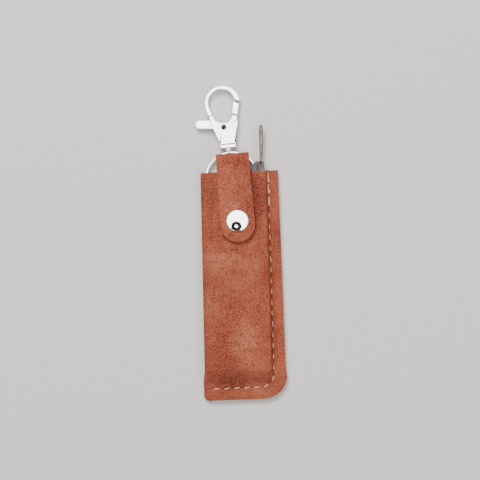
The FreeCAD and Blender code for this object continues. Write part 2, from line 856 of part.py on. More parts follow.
def pick_handle():
    """A steel strip with a sloped shoulder and a notch, slotted for the shank."""
    body = new_body("pick_handle")
    strip_outline = outline(body, "handle_outline", "XY_Plane", [
        ("Dims.pick_left", "Dims.pick_foot"),
        ("Dims.pick_right", "Dims.pick_foot"),
        ("Dims.pick_right", "Dims.pick_top"),
        ("Dims.shank_across + 0.9", "Dims.pick_top"),
        ("Dims.shank_across + 0.05", "Dims.pick_top - 1.3"),
        ("Dims.shank_across - 0.8", "Dims.pick_top"),
        ("Dims.pick_left + 2.9", "Dims.pick_top"),
        ("Dims.pick_left", "Dims.pick_top - 1.7"),
    ])
    pad(body, strip_outline, "handle_pad", "Dims.pick_thick")
    slot = outline(body, "slot_outline", "XY_Plane", [
        ("Dims.shank_across - Dims.shank_width / 2", "Dims.shank_root"),
        ("Dims.shank_across + Dims.shank_width / 2", "Dims.shank_root"),
        ("Dims.shank_across + Dims.shank_width / 2", "Dims.pick_top + 1"),
        ("Dims.shank_across - Dims.shank_width / 2", "Dims.pick_top + 1"),
    ])
    pocket(body, slot, "shank_slot", "Dims.shank_thick")
    return at(body, z="Dims.pick_lift + Dims.pick_thick / 2")


def pick_shank():
    """The thin bar: narrow at the handle, widening a little to its rounded tip and leaning right."""
    body = new_body("pick_shank")
    bar = outline(body, "shank_outline", "XY_Plane", [
        ("Dims.shank_across - Dims.shank_width / 2", "Dims.shank_root"),
        ("Dims.shank_across + Dims.shank_width / 2", "Dims.shank_root"),
        ("Dims.shank_across + Dims.shank_width / 2", "Dims.pick_top"),
        ("Dims.shank_across + Dims.shank_neck + 0.65", "Dims.shank_top - 2"),
        ("Dims.shank_across + Dims.shank_neck + 0.2", "Dims.shank_top - 0.5"),
        ("Dims.shank_across + Dims.shank_neck - 0.45", "Dims.shank_top"),
        ("Dims.shank_across + Dims.shank_neck - 1.0", "Dims.shank_top - 0.6"),
        ("Dims.shank_across - Dims.shank_neck + 0.75", "Dims.shank_top - 2"),
        ("Dims.shank_across - Dims.shank_neck + 0.7", "Dims.pick_top"),
        ("Dims.shank_across - Dims.shank_width / 2", "Dims.pick_top - 3"),
    ])
    pad(body, bar, "shank_pad", "Dims.shank_thick")
    return at(body, z="Dims.pick_lift + Dims.pick_thick / 2")


def pick_rivets():
    """Two rivets through handle and shank, flush with the handle's faces."""
    rivets = []
    for step in ("4", "10"):
        rivet = rod("rivet", "0.6", "Dims.pick_thick", ALONG_Z)
        at(rivet, x="Dims.shank_across", y=f"Dims.shank_root + {step}", z="Dims.pick_lift")
        rivets.append(rivet)
    return node(group_of("pick_rivets", rivets), "pick_rivets")


snap_cap()
snap_socket()
snap_spring()
snap_stud()
snap_post()
split_ring()
swivel_eye()
clasp_body()
gate_lever()
gate_pin()
gate_spring()
pick_handle()
pick_shank()
pick_rivets()
doc.recompute()


def check_and_write():
    """Writes each piece to its own file, once every object of the document is sound."""
    broken = [o.Name for o in doc.Objects if "Invalid" in o.State or "Error" in o.State]
    if broken:
        raise RuntimeError(f"failed objects: {broken}")
    os.makedirs("parts", exist_ok=True)
    for piece in NODES:
        if piece.Shape.isNull() or not piece.Shape.isValid():
            raise RuntimeError(f"{piece.Label} has no valid shape")
        piece.Shape.exportStep(f"parts/{piece.Label}.step")
        print(f"{piece.Label}: {len(piece.Shape.Solids)} solids, {piece.Shape.Volume:.2f} cubic mm")


check_and_write()
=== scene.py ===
import math

import bmesh
import bpy
import numpy as np
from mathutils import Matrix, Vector, noise


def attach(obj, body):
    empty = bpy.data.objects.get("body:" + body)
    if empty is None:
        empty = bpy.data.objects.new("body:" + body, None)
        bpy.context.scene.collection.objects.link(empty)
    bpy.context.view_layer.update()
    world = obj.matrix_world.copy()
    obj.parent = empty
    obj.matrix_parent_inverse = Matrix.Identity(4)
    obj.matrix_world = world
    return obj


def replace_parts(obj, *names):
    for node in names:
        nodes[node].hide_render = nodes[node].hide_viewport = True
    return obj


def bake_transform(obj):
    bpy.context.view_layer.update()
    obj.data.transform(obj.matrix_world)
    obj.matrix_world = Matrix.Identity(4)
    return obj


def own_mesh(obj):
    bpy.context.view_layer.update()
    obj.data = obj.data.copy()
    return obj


# A leather pick holder: a folded and sewn sheath with a snap-down strap, a split ring,
# a swivel trigger clasp and the steel pick in its pocket. Lengths below are in millimetres
# in the frame's own axes, and turn into metres when a mesh is made.

MM = 0.001

LEATHER = 1.4
MOUTH, FOOT = 52.0, -52.0
BACK_MIDDLE = LEATHER / 2
FLANGE_MIDDLE = 1.5 * LEATHER
PANEL_MIDDLE = 6.4
SEAM_X, SEAM_Y, SEAM_RADIUS, SEAM_SLOPE = 12.9, -46.5, 6.0, 0.8
CORNER_RADIUS, SMALL_RADIUS = 11.0, 1.6
POCKET_FULL = -37.5

CREST = Vector((-3.0, 60.2))
STRAP_LEAN = math.radians(2.8)
STRAP_HALF = 7.5
STRAP_LENGTH = 40.3
STRAP_MIDDLE = 9.1
BEND_RADIUS = 1.7
TONGUE_START = 8.6

RING_MIDDLE, RING_RADIUS, RING_WIRE = Vector((-3.3, 48.95)), 11.85, 1.0

FIRST_BACK_STITCH, BACK_STITCH_PITCH, BACK_STITCHES, BACK_STITCH_LENGTH = 3.25, 5.3, 3, 4.2
FIRST_STITCH, SIDE_PITCH, SIDE_STITCHES = 20.4, 4.95, 16
FOOT_PITCH, FOOT_STITCHES, STITCH_LENGTH = 4.55, 6, 2.1

CAMERA_DISTANCE, VIEW_WIDTH = 0.9, 0.2182

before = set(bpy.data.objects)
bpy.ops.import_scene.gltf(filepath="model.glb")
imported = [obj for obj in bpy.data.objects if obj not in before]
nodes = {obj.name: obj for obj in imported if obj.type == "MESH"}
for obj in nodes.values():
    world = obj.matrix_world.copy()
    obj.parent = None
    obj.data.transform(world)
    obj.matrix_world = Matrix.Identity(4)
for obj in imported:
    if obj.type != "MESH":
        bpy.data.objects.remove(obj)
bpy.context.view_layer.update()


# ---------------------------------------------------------------- small helpers


def smooth(t):
    """0 below 0, 1 above 1, and an S curve between."""
    t = min(1.0, max(0.0, t))
    return t * t * (3 - 2 * t)


def ripple(x, y, scale, seed):
    """Soft noise from -1 to 1, with features of about that size."""
    return noise.noise(Vector((x / scale, y / scale, seed)))


def put_in_scene(name, data):
    """A new object in the scene."""
    made = bpy.data.objects.new(name, data)
    bpy.context.scene.collection.objects.link(made)
    return made


def mesh_piece(name, points, faces, body, material, shade=True):
    """A mesh object from points in millimetres that rides on a body."""
    mesh = bpy.data.meshes.new(name)
    mesh.from_pydata([Vector(p) * MM for p in points], [], faces)
    mesh.update()
    piece = put_in_scene(name, mesh)
    keep_rest(piece)
    for polygon in mesh.polygons:
        polygon.use_smooth = shade
    for one in material if isinstance(material, list) else [material]:
        mesh.materials.append(one)
    if body:
        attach(piece, body)
    return piece


def keep_rest(piece):
    """Stores where each point is at rest, so that a pattern stays on the piece when it bends."""
    mesh = piece.data
    places = np.zeros(len(mesh.vertices) * 3, np.float32)
    mesh.vertices.foreach_get("co", places)
    mesh.attributes.new("rest", "FLOAT_VECTOR", "POINT").data.foreach_set("vector", places)


def grid_faces(rows, columns):
    """Quads of a grid whose points are listed row by row."""
    faces = []
    for r in range(rows - 1):
        for c in range(columns - 1):
            a = r * columns + c
            faces.append((a, a + 1, a + 1 + columns, a + columns))
    return faces


def apply_modifiers(piece):
    """Turns the piece's modifiers into its own mesh."""
    graph = bpy.context.evaluated_depsgraph_get()
    done = bpy.data.meshes.new_from_object(piece.evaluated_get(graph))
    old = piece.data
    piece.modifiers.clear()
    piece.data = done
    bpy.data.meshes.remove(old)


def thick_sheet(piece, thickness, edge_bevel):
    """Gives a sheet its thickness, rounded cut edges, and its face, flesh and edge materials."""
    solid = piece.modifiers.new("thickness", "SOLIDIFY")
    solid.thickness = thickness * MM
    solid.offset = 0
    solid.use_even_offset = False
    solid.material_offset = 1
    solid.material_offset_rim = 2
    bevel = piece.modifiers.new("edges", "BEVEL")
    bevel.width = edge_bevel * MM
    bevel.segments = 2
    bevel.limit_method = "ANGLE"
    bevel.angle_limit = math.radians(55)
    apply_modifiers(piece)


# ---------------------------------------------------------------- materials


class Nodes:
    """A short way to write a material's nodes."""

    def __init__(self, name):
        self.material = bpy.data.materials.new(name)
        self.material.use_nodes = True
        self.tree = self.material.node_tree
        self.shader = next(n for n in self.tree.nodes if n.type == "BSDF_PRINCIPLED")

    def add(self, kind, **settings):
        node = self.tree.nodes.new(kind)
        for key, value in settings.items():
            setattr(node, key, value)
        return node

    def put(self, value, socket):
        """Links an output to a socket, or sets a constant on it."""
        if isinstance(value, bpy.types.NodeSocket):
            self.tree.links.new(value, socket)
        elif value is not None:
            socket.default_value = value

    def place(self):
        """Where the shaded point is on the piece at rest."""
        return self.add("ShaderNodeAttribute", attribute_name="rest").outputs["Vector"]

    def cad_place(self):
        """Where the shaded point is on a CAD node, in the frame's axes."""
        return self.add("ShaderNodeTexCoord").outputs["Object"]

    def noise(self, place, scale, detail=2.0, rough=0.5, stretch=None):
        if stretch:
            mapping = self.add("ShaderNodeMapping")
            self.put(place, mapping.inputs["Vector"])
            mapping.inputs["Scale"].default_value = stretch
            place = mapping.outputs["Vector"]
        node = self.add("ShaderNodeTexNoise")
        self.put(place, node.inputs["Vector"])
        node.inputs["Scale"].default_value = scale
        node.inputs["Detail"].default_value = detail
        node.inputs["Roughness"].default_value = rough
        return node.outputs["Fac"]

    def maths(self, operation, a, b=None):
        node = self.add("ShaderNodeMath", operation=operation)
        self.put(a, node.inputs[0])
        self.put(b, node.inputs[1])
        return node.outputs[0]

    def spread(self, value, low, high, to_low=0.0, to_high=1.0):
        """Maps low to high onto to_low to to_high, smoothly and with no overshoot."""
        node = self.add("ShaderNodeMapRange", interpolation_type="SMOOTHSTEP")
        self.put(value, node.inputs["Value"])
        node.inputs["From Min"].default_value = low
        node.inputs["From Max"].default_value = high
        node.inputs["To Min"].default_value = to_low
        node.inputs["To Max"].default_value = to_high
        return node.outputs["Result"]

    def mix(self, share, a, b):
        node = self.add("ShaderNodeMix", data_type="RGBA", blend_type="MIX")
        self.put(share, node.inputs["Factor"])
        self.put(a, node.inputs["A"])
        self.put(b, node.inputs["B"])
        return node.outputs["Result"]

    def blob(self, place, middle, radii):
        """1 in the middle of a soft oval patch seen from above, 0 outside it. In millimetres."""
        mapping = self.add("ShaderNodeMapping", vector_type="POINT")
        self.put(place, mapping.inputs["Vector"])
        scale = [1 / (r * MM) for r in radii]
        shift = [-m * MM * s for m, s in zip(middle, scale)]
        mapping.inputs["Scale"].default_value = (scale[0], scale[1], 0.0)
        mapping.inputs["Location"].default_value = (shift[0], shift[1], 0.0)
        length = self.add("ShaderNodeVectorMath", operation="LENGTH")
        self.put(mapping.outputs["Vector"], length.inputs[0])
        return self.spread(length.outputs["Value"], 0.0, 1.0, 1.0, 0.0)

    def bump(self, height, distance, strength=1.0):
        node = self.add("ShaderNodeBump")
        node.inputs["Strength"].default_value = strength
        node.inputs["Distance"].default_value = distance * MM
        self.put(height, node.inputs["Height"])
        return node.outputs["Normal"]

    def finish(self, color, roughness, normal=None, metallic=0.0):
        self.put(color, self.shader.inputs["Base Color"])
        self.put(roughness, self.shader.inputs["Roughness"])
        self.put(normal, self.shader.inputs["Normal"])
        self.shader.inputs["Metallic"].default_value = metallic
        return self.material


RUST = (0.29, 0.047, 0.028, 1)
DEEP_RUST = (0.105, 0.013, 0.009, 1)
TAN = (0.43, 0.104, 0.052, 1)
PALE_TAN = (0.63, 0.215, 0.116, 1)


def warped(m, place, amount):
    """The place pushed about by noise, so that patches get ragged outlines."""
    wobble = m.add("ShaderNodeTexNoise")
    m.put(place, wobble.inputs["Vector"])
    wobble.inputs["Scale"].default_value = 90
    wobble.inputs["Detail"].default_value = 3
    shift = m.add("ShaderNodeVectorMath", operation="MULTIPLY_ADD")
    m.put(wobble.outputs["Color"], shift.inputs[0])
    shift.inputs[1].default_value = (amount * MM,) * 3
    m.put(place, shift.inputs[2])
    return shift.outputs["Vector"]


def nubuck(name, pale_patches, dark_patches):
    """Oiled nubuck: cloudy rust and tan, with a fine mottled nap and hair-thin marks."""
    m = Nodes(name)
    place = m.place()
    loose = warped(m, place, 5.0)
    clouds = m.spread(m.noise(place, 70, 4, 0.6), 0.38, 0.64)
    color = m.mix(clouds, RUST, TAN)
    for middle, radii, share in pale_patches:
        blob = m.maths("MULTIPLY", m.blob(loose, middle, radii), share)
        color = m.mix(blob, color, PALE_TAN)
    # Dark patches: the leather's darker tone, and on the sheath also painted shade and painted
    # shadow.
    for middle, radii, share in dark_patches:
        blob = m.maths("MULTIPLY", m.blob(loose, middle, radii), share)
        color = m.mix(blob, color, DEEP_RUST)
    nap = m.noise(place, 1900, 2, 0.6)
    speckle = m.spread(m.noise(place, 1900, 3, 0.75), 0.42, 0.62)
    color = m.mix(m.maths("MULTIPLY", speckle, 0.58), color, PALE_TAN)
    dark_speckle = m.spread(m.noise(place, 2300, 2, 0.7, (1, 0.7, 1.4)), 0.45, 0.63)
    color = m.mix(m.maths("MULTIPLY", dark_speckle, 0.68), color, DEEP_RUST)
    smudge = m.spread(m.noise(place, 320, 3, 0.6), 0.50, 0.68)
    color = m.mix(m.maths("MULTIPLY", smudge, 0.22), color, DEEP_RUST)
    height = m.maths("ADD", m.maths("MULTIPLY", nap, 0.5), m.maths("MULTIPLY", speckle, 0.6))
    normal = m.bump(height, 0.12, 0.8)
    rough = m.spread(speckle, 0.0, 1.0, 0.72, 0.86)
    m.shader.inputs["Sheen Weight"].default_value = 0.04
    m.shader.inputs["Sheen Roughness"].default_value = 0.5
    m.shader.inputs["Sheen Tint"].default_value = (1.0, 0.55, 0.35, 1)
    m.shader.inputs["Specular IOR Level"].default_value = 0.04
    return m.finish(color, rough, normal)


def flesh_side():
    """The leather's unfinished inner side: paler, with loose fibres."""
    m = Nodes("leather_flesh")
    place = m.place()
    fibres = m.noise(place, 900, 4, 0.7, (1, 0.35, 1))
    color = m.mix(m.spread(fibres, 0.35, 0.7), (0.55, 0.31, 0.16, 1), (0.80, 0.58, 0.36, 1))
    m.shader.inputs["Sheen Weight"].default_value = 0.3
    return m.finish(color, 0.92, m.bump(fibres, 0.25))


def cut_edge():
    """The leather's cut edge: dense fibre, darker where it was dyed."""
    m = Nodes("leather_edge")
    place = m.place()
    fibres = m.noise(place, 1100, 3, 0.7, (1, 1, 2.2))
    color = m.mix(m.spread(fibres, 0.3, 0.7), (0.26, 0.075, 0.04, 1), (0.50, 0.20, 0.11, 1))
    return m.finish(color, 0.8, m.bump(fibres, 0.2))


def undyed_edge_and_highlight():
    """Undyed leather edge, cream with short fibres, made paler than such leather would be so that
    it shows bright in the strap's shade: partly painted highlight.
    """
    m = Nodes("leather_pale_edge")
    fibres = m.noise(m.place(), 1000, 3, 0.7)
    color = m.mix(m.spread(fibres, 0.3, 0.7), (0.80, 0.56, 0.26, 1), (1.0, 0.86, 0.55, 1))
    return m.finish(color, 0.85, m.bump(fibres, 0.2))


def thread_material():
    """Waxed tan thread with the lay of its plies."""
    m = Nodes("waxed_thread")
    place = m.place()
    plies = m.noise(place, 2600, 2, 0.5, (1, 1, 1))
    color = m.mix(m.spread(plies, 0.3, 0.7), (0.60, 0.28, 0.13, 1), (0.95, 0.62, 0.36, 1))
    return m.finish(color, 0.7, m.bump(plies, 0.08))


def plated(name, color, shadow, roughness, scratch=0.03):
    """Bright plating: faint cloudiness and hairline rubs that only show in the reflections."""
    m = Nodes(name)
    place = m.cad_place()
    clouds = m.noise(place, 260, 3, 0.6)
    rubs = m.noise(place, 900, 2, 0.7, (1, 0.06, 1))
    shade = m.mix(m.spread(clouds, 0.35, 0.75), color, shadow)
    rough = m.maths("ADD", m.spread(clouds, 0.3, 0.7, roughness * 0.8, roughness * 1.3),
                    m.maths("MULTIPLY", m.spread(rubs, 0.55, 0.75), scratch))
    return m.finish(shade, rough, m.bump(rubs, 0.006, 0.35), 1.0)


def drawn_steel(name, color, shadow, roughness):
    """Plain steel with fine lines along its length and dull spots."""
    m = Nodes(name)
    place = m.cad_place()
    lines = m.noise(place, 1500, 2, 0.6, (1, 0.05, 1))
    spots = m.spread(m.noise(place, 320, 4, 0.65), 0.4, 0.7)
    shade = m.mix(spots, color, shadow)
    lined = m.spread(lines, 0.3, 0.7, roughness, roughness + 0.12)
    rough = m.maths("ADD", m.maths("MULTIPLY", spots, 0.15), lined)
    return m.finish(shade, rough, m.bump(lines, 0.02, 0.6), 1.0)


SHEATH_PALE = [
    ((-8, 14), (13, 9), 0.7), ((-2, 4), (15, 12), 0.35), ((-13, -6), (8, 14), 0.45),
    ((3, -22), (11, 17), 0.65), ((8, -36), (8, 12), 0.35), ((7, 10), (8, 9), 0.35),
    ((12, -47), (12, 5), 0.4), ((-12, 33), (6, 9), 0.15),
]
# Darker patches of the sheath. Most are the leather's own tone, but some are painted shade and
# shadow:
# at (16.8, 0); a painted shadow below the strap's tip at (-1.5, 19), and painted shadow lines along
# both
# painted shade at the mouth beside the strap at (9, 44), (10, 40) and (-14, 44), and along the
# right edge
# painted shade in the band above the foot's seam at (-3, -42.5), where the panel dips down to the
# stitches,
# sides of the strap at (-10.6, 38) and (5.8, 40).
SHEATH_DARK_AND_SHADE = [
    ((-3, -42.5), (15, 4.2), 0.85), ((-6, -33), (8, 8), 0.35), ((9, 44), (7, 17), 0.95),
    ((-14, 44), (7, 14), 0.5), ((11.2, 20), (3, 22), 0.25), ((-17.5, 0), (3, 48), 0.25),
    ((10, 40), (5, 14), 0.5), ((-4, -49.5), (20, 4), 0.3),
    ((2, 9), (7, 4), 0.25), ((9, -12), (6, 9), 0.3), ((-1.5, 19), (10, 3.5), 0.45),
    ((16.8, 0), (2.6, 60), 0.4), ((-10.6, 38), (2.6, 20), 0.6), ((5.8, 40), (3.5, 20), 0.5),
]
STRAP_PALE = [((-2.5, 45), (12, 22), 0.4), ((-4, 47), (7, 9), 0.3), ((-1, 38), (6, 6), 0.35)]
STRAP_DARK = [((-3, 58), (9, 3), 0.3), ((-1.5, 24), (8, 5), 0.2)]

sheath_skin = nubuck("leather_sheath", SHEATH_PALE, SHEATH_DARK_AND_SHADE)
strap_skin = nubuck("leather_strap", STRAP_PALE, STRAP_DARK)
flesh = flesh_side()
edge = cut_edge()
pale_edge = undyed_edge_and_highlight()
thread = thread_material()


# ---------------------------------------------------------------- the seam


def seam_distance(x, y):
    """How far a point is from the stitching line."""
    corner_x, corner_y = SEAM_X - SEAM_RADIUS, SEAM_Y + SEAM_RADIUS
    if x >= corner_x and y <= corner_y:
        return abs(math.hypot(x - corner_x, y - corner_y) - SEAM_RADIUS)
    if y > corner_y:
        return abs(x - SEAM_X)
    line = SEAM_Y - (corner_x - x) * math.tan(math.radians(SEAM_SLOPE))
    return abs(y - line)


def seam_station(run):
    """The point and direction that far along the stitching line from the mouth."""
    corner = Vector((SEAM_X - SEAM_RADIUS, SEAM_Y + SEAM_RADIUS))
    straight = MOUTH - corner.y
    bend = SEAM_RADIUS * math.pi / 2
    if run < straight:
        return Vector((SEAM_X, MOUTH - run)), Vector((0, -1))
    if run < straight + bend:
        angle = -(run - straight) / SEAM_RADIUS
        out = Vector((math.cos(angle), math.sin(angle)))
        return corner + SEAM_RADIUS * out, Vector((out.y, -out.x))
    left = run - straight - bend
    slope = math.radians(SEAM_SLOPE)
    way = Vector((-math.cos(slope), -math.sin(slope)))
    return Vector((corner.x, SEAM_Y)) + left * way, way


def seam_stitches():
    """(distance along the seam, length) of each stitch: long doubled ones at the mouth first."""
    stitches = []
    for k in range(BACK_STITCHES):
        stitches.append((FIRST_BACK_STITCH + BACK_STITCH_PITCH * k, BACK_STITCH_LENGTH))
    stitches += [(FIRST_STITCH + SIDE_PITCH * k, STITCH_LENGTH) for k in range(SIDE_STITCHES)]
    last = stitches[-1][0]
    stitches += [(last + FOOT_PITCH * k, STITCH_LENGTH) for k in range(1, FOOT_STITCHES + 1)]
    return stitches


SEAM_HOLES = []
for run, length in seam_stitches():
    SEAM_HOLES += [seam_station(run - length / 2)[0], seam_station(run + length / 2)[0]]


def seam_dent(x, y):
    """How deep the leather is pulled in at the stitching line."""
    away = seam_distance(x, y)
    if away > 2.5 or x < -15.5 and y < -40:
        return 0.0
    dent = 0.52 * math.exp(-((away / 0.45) ** 2)) + 0.10 * math.exp(-((away / 1.3) ** 2))
    nearest = min((hole - Vector((x, y))).length for hole in SEAM_HOLES)
    return dent + 0.65 * math.exp(-((nearest / 0.5) ** 2))


# ---------------------------------------------------------------- the sheath


def side_line(y, at_mouth, at_low, at_foot, flare):
    """A side of the sheath: straight down to the pocket's full depth, then flaring to the foot."""
    if y > POCKET_FULL:
        return at_mouth + (at_low - at_mouth) * (MOUTH - y) / (MOUTH - POCKET_FULL)
    return at_low + (at_foot - at_low) * smooth((POCKET_FULL - y) / flare)


def corner_cut(y, radius):
    """How far a rounded corner at the foot takes the side in."""
    over = FOOT + radius - y
    return radius - math.sqrt(max(0.0, radius**2 - over**2)) if over > 0 else 0.0


def left_edge(y):
    """The fold's outermost line."""
    return side_line(y, -17.7, -18.5, -19.1, 6.7) + corner_cut(y, SMALL_RADIUS)


def right_edge(y):
    """The sewn side's cut edge, with its large corner."""
    return side_line(y, 17.6, 18.5, 19.05, 5) - corner_cut(y, CORNER_RADIUS)


def ramp(y):
    """How far the pocket has opened up over the flat foot, from 0 to 1."""
    return smooth((y + 45.6) / 8.6)


def front_middle(x, y):
    """Height of the middle of the front layer."""
    side = smooth((12.65 - x) / 1.5)
    opened = ramp(y) * side
    height = FLANGE_MIDDLE + (PANEL_MIDDLE - FLANGE_MIDDLE) * opened
    # The panel falls a little towards the seam and the fold, and is never quite flat.
    height -= 0.28 * smooth((x - 5) / 6) * opened
    height -= 0.45 * smooth((-9 - x) / 5) * opened
    height += 0.16 * opened * (ripple(x, y, 9, 3.1) - 0.6)
    # The leather puckers where it comes down to the foot's stitches.
    gather = math.exp(-(((y + 42.2) / 2.6) ** 2)) * smooth((12 - x) / 3) * smooth((x + 15) / 3)
    height += 0.13 * gather * math.sin(x * 2.7 + 0.8 * math.sin(x * 0.9))
    return height - seam_dent(x, y)


def back_middle(x, y):
    """Height of the middle of the back layer, with the seam's groove from behind."""
    return BACK_MIDDLE + min(0.45, 1.4 * seam_dent(x, y))


# Columns of the sheath's mesh, closer together at the seam. Those past SLIDE_FROM follow the edge.
COLUMNS = (
    [-14.0 + 0.85 * k for k in range(24)]
    + [6.4 + 0.27 * k for k in range(28)]
    + [14.1 + 0.66 * k for k in range(8)]
)
SLIDE_FROM = 6.0
FOLD_STEPS, FOLD_SQUARENESS = 12, 3.1


def section(y):
    """The middle line of the leather round the sheath at one station: back, fold, front."""
    spread = (right_edge(y) - SLIDE_FROM) / (COLUMNS[-1] - SLIDE_FROM)
    columns = [x if x < SLIDE_FROM else SLIDE_FROM + (x - SLIDE_FROM) * spread for x in COLUMNS]
    wall = left_edge(y) + LEATHER / 2
    shift = smooth((-30 - y) / 10)
    first = columns[0] - 1.2 * shift
    columns = [x + (first - columns[0]) * max(0.0, 1 - (x - columns[0]) / 8) for x in columns]
    top = front_middle(columns[0], y)
    low = back_middle(columns[0], y)
    middle, half = (top + low) / 2, (top - low) / 2
    points = [(x, y, back_middle(x, y)) for x in reversed(columns)]
    power = 2 / FOLD_SQUARENESS
    lift = 0.75 * smooth((FOOT + 2.5 - y) / 2.5)
    for k in range(1, FOLD_STEPS):
        angle = math.pi * (k / FOLD_STEPS - 0.5)
        round_fold = abs(math.cos(angle)) ** power
        x = columns[0] - (columns[0] - wall) * round_fold
        z = middle + half * math.copysign(abs(math.sin(angle)) ** power, angle)
        points.append((x, y + lift * round_fold, z))
    return points + [(x, y, front_middle(x, y)) for x in columns]


def sheath_rows():
    """Stations from the mouth to the foot, closest together at the foot."""
    rows = [MOUTH - 0.8 * k for k in range(115)]
    rows += [-39.6 - 0.28 * k for k in range(1, 30)]
    low = rows[-1]
    return rows + [low + (FOOT - low) * math.sin(math.pi / 2 * k / 12) for k in range(1, 13)]


def mouth_line(x, y, front):
    """A little unevenness of the cut at the mouth."""
    near = smooth((y - 44) / 8)
    lift = 0.35 * smooth((x - 11) / 2) if front else 0.0
    return y + near * (lift - 0.35 + 0.15 * ripple(x, 52, 6, 8.0))


def make_sheath():
    rows = sheath_rows()
    points = []
    for y in rows:
        line = section(y)
        half_way = len(line) / 2
        points += [(x, mouth_line(x, row, k > half_way), z) for k, (x, row, z) in enumerate(line)]
    faces = [face[::-1] for face in grid_faces(len(rows), len(points) // len(rows))]
    sheath = mesh_piece("sheath", points, faces, None, [sheath_skin, flesh, edge])
    thick_sheet(sheath, LEATHER, 0.22)
    keep_new_rest(sheath)
    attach(sheath, "sheath")
    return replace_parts(sheath, "sheath_leather")


def keep_new_rest(piece):
    """Stores the rest places again after the mesh has changed."""
    old = piece.data.attributes.get("rest")
    if old:
        piece.data.attributes.remove(old)
    keep_rest(piece)
    for polygon in piece.data.polygons:
        polygon.use_smooth = True


# ---------------------------------------------------------------- the strap


def on_strap(across, along, height):
    """A point of the strap's own frame in the frame's axes."""
    c, s = math.cos(STRAP_LEAN), math.sin(STRAP_LEAN)
    return (CREST.x + across * c - along * s, CREST.y + across * s + along * c, height)


def tongue_shape():
    """Radius and turn of the tongue's rise from the back to the bend."""
    rise = STRAP_MIDDLE - BACK_MIDDLE
    run = TONGUE_START - LEATHER / 2 - BEND_RADIUS
    half = math.atan((rise - 2 * BEND_RADIUS) / run)
    return run / math.sin(2 * half) + BEND_RADIUS, 2 * half


def strap_line():
    """(along, height) of the strap's middle, from the tip over the crest to the back."""
    reach = BEND_RADIUS + LEATHER / 2
    radius, turn = tongue_shape()
    line = []
    tip = -STRAP_LENGTH
    round_end = [tip + STRAP_HALF * (1 - math.cos(math.pi / 2 * k / 16)) for k in range(17)]
    straight = [round_end[-1] + (-reach - round_end[-1]) * k / 40 for k in range(1, 41)]
    for along in round_end + straight:
        sag = 0.35 * smooth((-33 - along) / 6)
        line.append((along, STRAP_MIDDLE - sag + 0.05 * math.sin(along * 0.4)))
    steps = 12
    for k in range(1, steps + 1):
        angle = math.pi / 2 - (math.pi - turn) * k / steps
        height = STRAP_MIDDLE - BEND_RADIUS + BEND_RADIUS * math.sin(angle)
        line.append((-reach + BEND_RADIUS * math.cos(angle), height))
    for k in range(1, steps + 1):
        angle = -math.pi / 2 + turn * (1 - k / steps)
        height = BACK_MIDDLE + radius + radius * math.sin(angle)
        line.append((-TONGUE_START + radius * math.cos(angle), height))
    return line


def ring_squeeze(along, height, across):
    """Keeps the tongue's edges inside the split ring where it passes through."""
    if along > -1.2 and height > 4 or height > 5.0:
        return across
    place = Vector(on_strap(across, along, height)[:2])
    limit = RING_RADIUS - RING_WIRE / 2 - 0.3
    if place.y < MOUTH or (place - RING_MIDDLE).length < limit:
        return across
    inside = math.sqrt(max(0.0, limit**2 - (place.y - RING_MIDDLE.y) ** 2))
    return math.copysign(min(abs(across), inside + 0.2), across)


def make_strap():
    line = strap_line()
    columns = 22
    points = []
    for along, height in line:
        half = STRAP_HALF + 0.25 * smooth((-10 - along) / 12) * smooth((height - 8) / 1)
        over = -STRAP_LENGTH + half - along
        if over > 0:
            half = math.sqrt(max(0.04, half**2 - over**2))
        for k in range(columns + 1):
            share = 2 * k / columns - 1
            across = half * math.sin(share * math.pi / 2 * 0.92) / math.sin(math.pi / 2 * 0.92)
            across = ring_squeeze(along, height, across)
            points.append(on_strap(across, along, height))
    faces = grid_faces(len(line), columns + 1)
    strap = mesh_piece("strap", points, faces, None, [strap_skin, flesh, edge])
    thick_sheet(strap, LEATHER - 0.02, 0.32)
    keep_new_rest(strap)
    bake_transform(strap)
    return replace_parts(strap, "strap_bend", "strap_flap")


def make_root_fillets():
    """The rounded inside corners of pale leather beside the strap's root; their cream is partly
    painted highlight.
    """
    middle = on_strap(0, MOUTH - CREST.y, 0)[0]
    radius, points, faces = 1.7, [], []
    for side in (-1, 1):
        near, far = middle + side * (STRAP_HALF - 1.0), middle + side * (STRAP_HALF + radius)
        outline = [(near, MOUTH - 0.6), (far, MOUTH - 0.6)]
        for k in range(9):
            angle = math.pi / 2 * k / 8
            x = far - side * radius * math.sin(angle)
            outline.append((x, MOUTH + radius - radius * math.cos(angle)))
        outline.append((near, MOUTH + radius))
        base = len(points)
        count = len(outline)
        points += [(x, y, 0.02) for x, y in outline] + [(x, y, LEATHER + 0.02) for x, y in outline]
        low = list(range(base, base + count))
        high = [k + count for k in low]
        faces += [tuple(low), tuple(high)]
        for k in range(count):
            after = (k + 1) % count
            faces.append((low[k], low[after], high[after], high[k]))
    fillets = mesh_piece("root_fillets", points, faces, "sheath", pale_edge, shade=False)
    tidy_normals(fillets)
    return fillets


def tidy_normals(piece):
    """Points every face outward."""
    work = bmesh.new()
    work.from_mesh(piece.data)
    bmesh.ops.recalc_face_normals(work, faces=work.faces)
    work.to_mesh(piece.data)
    work.free()


# ---------------------------------------------------------------- the threads


def ply_points(middle, across, up, offset, radius, sides):
    """One ring of points round a ply, which is offset from the thread's middle."""
    ring = []
    for k in range(sides):
        angle = 2 * math.pi * k / sides
        x = offset[0] + radius * math.cos(angle)
        z = offset[1] + radius * math.sin(angle)
        ring.append(middle + across * x + up * z)
    return ring


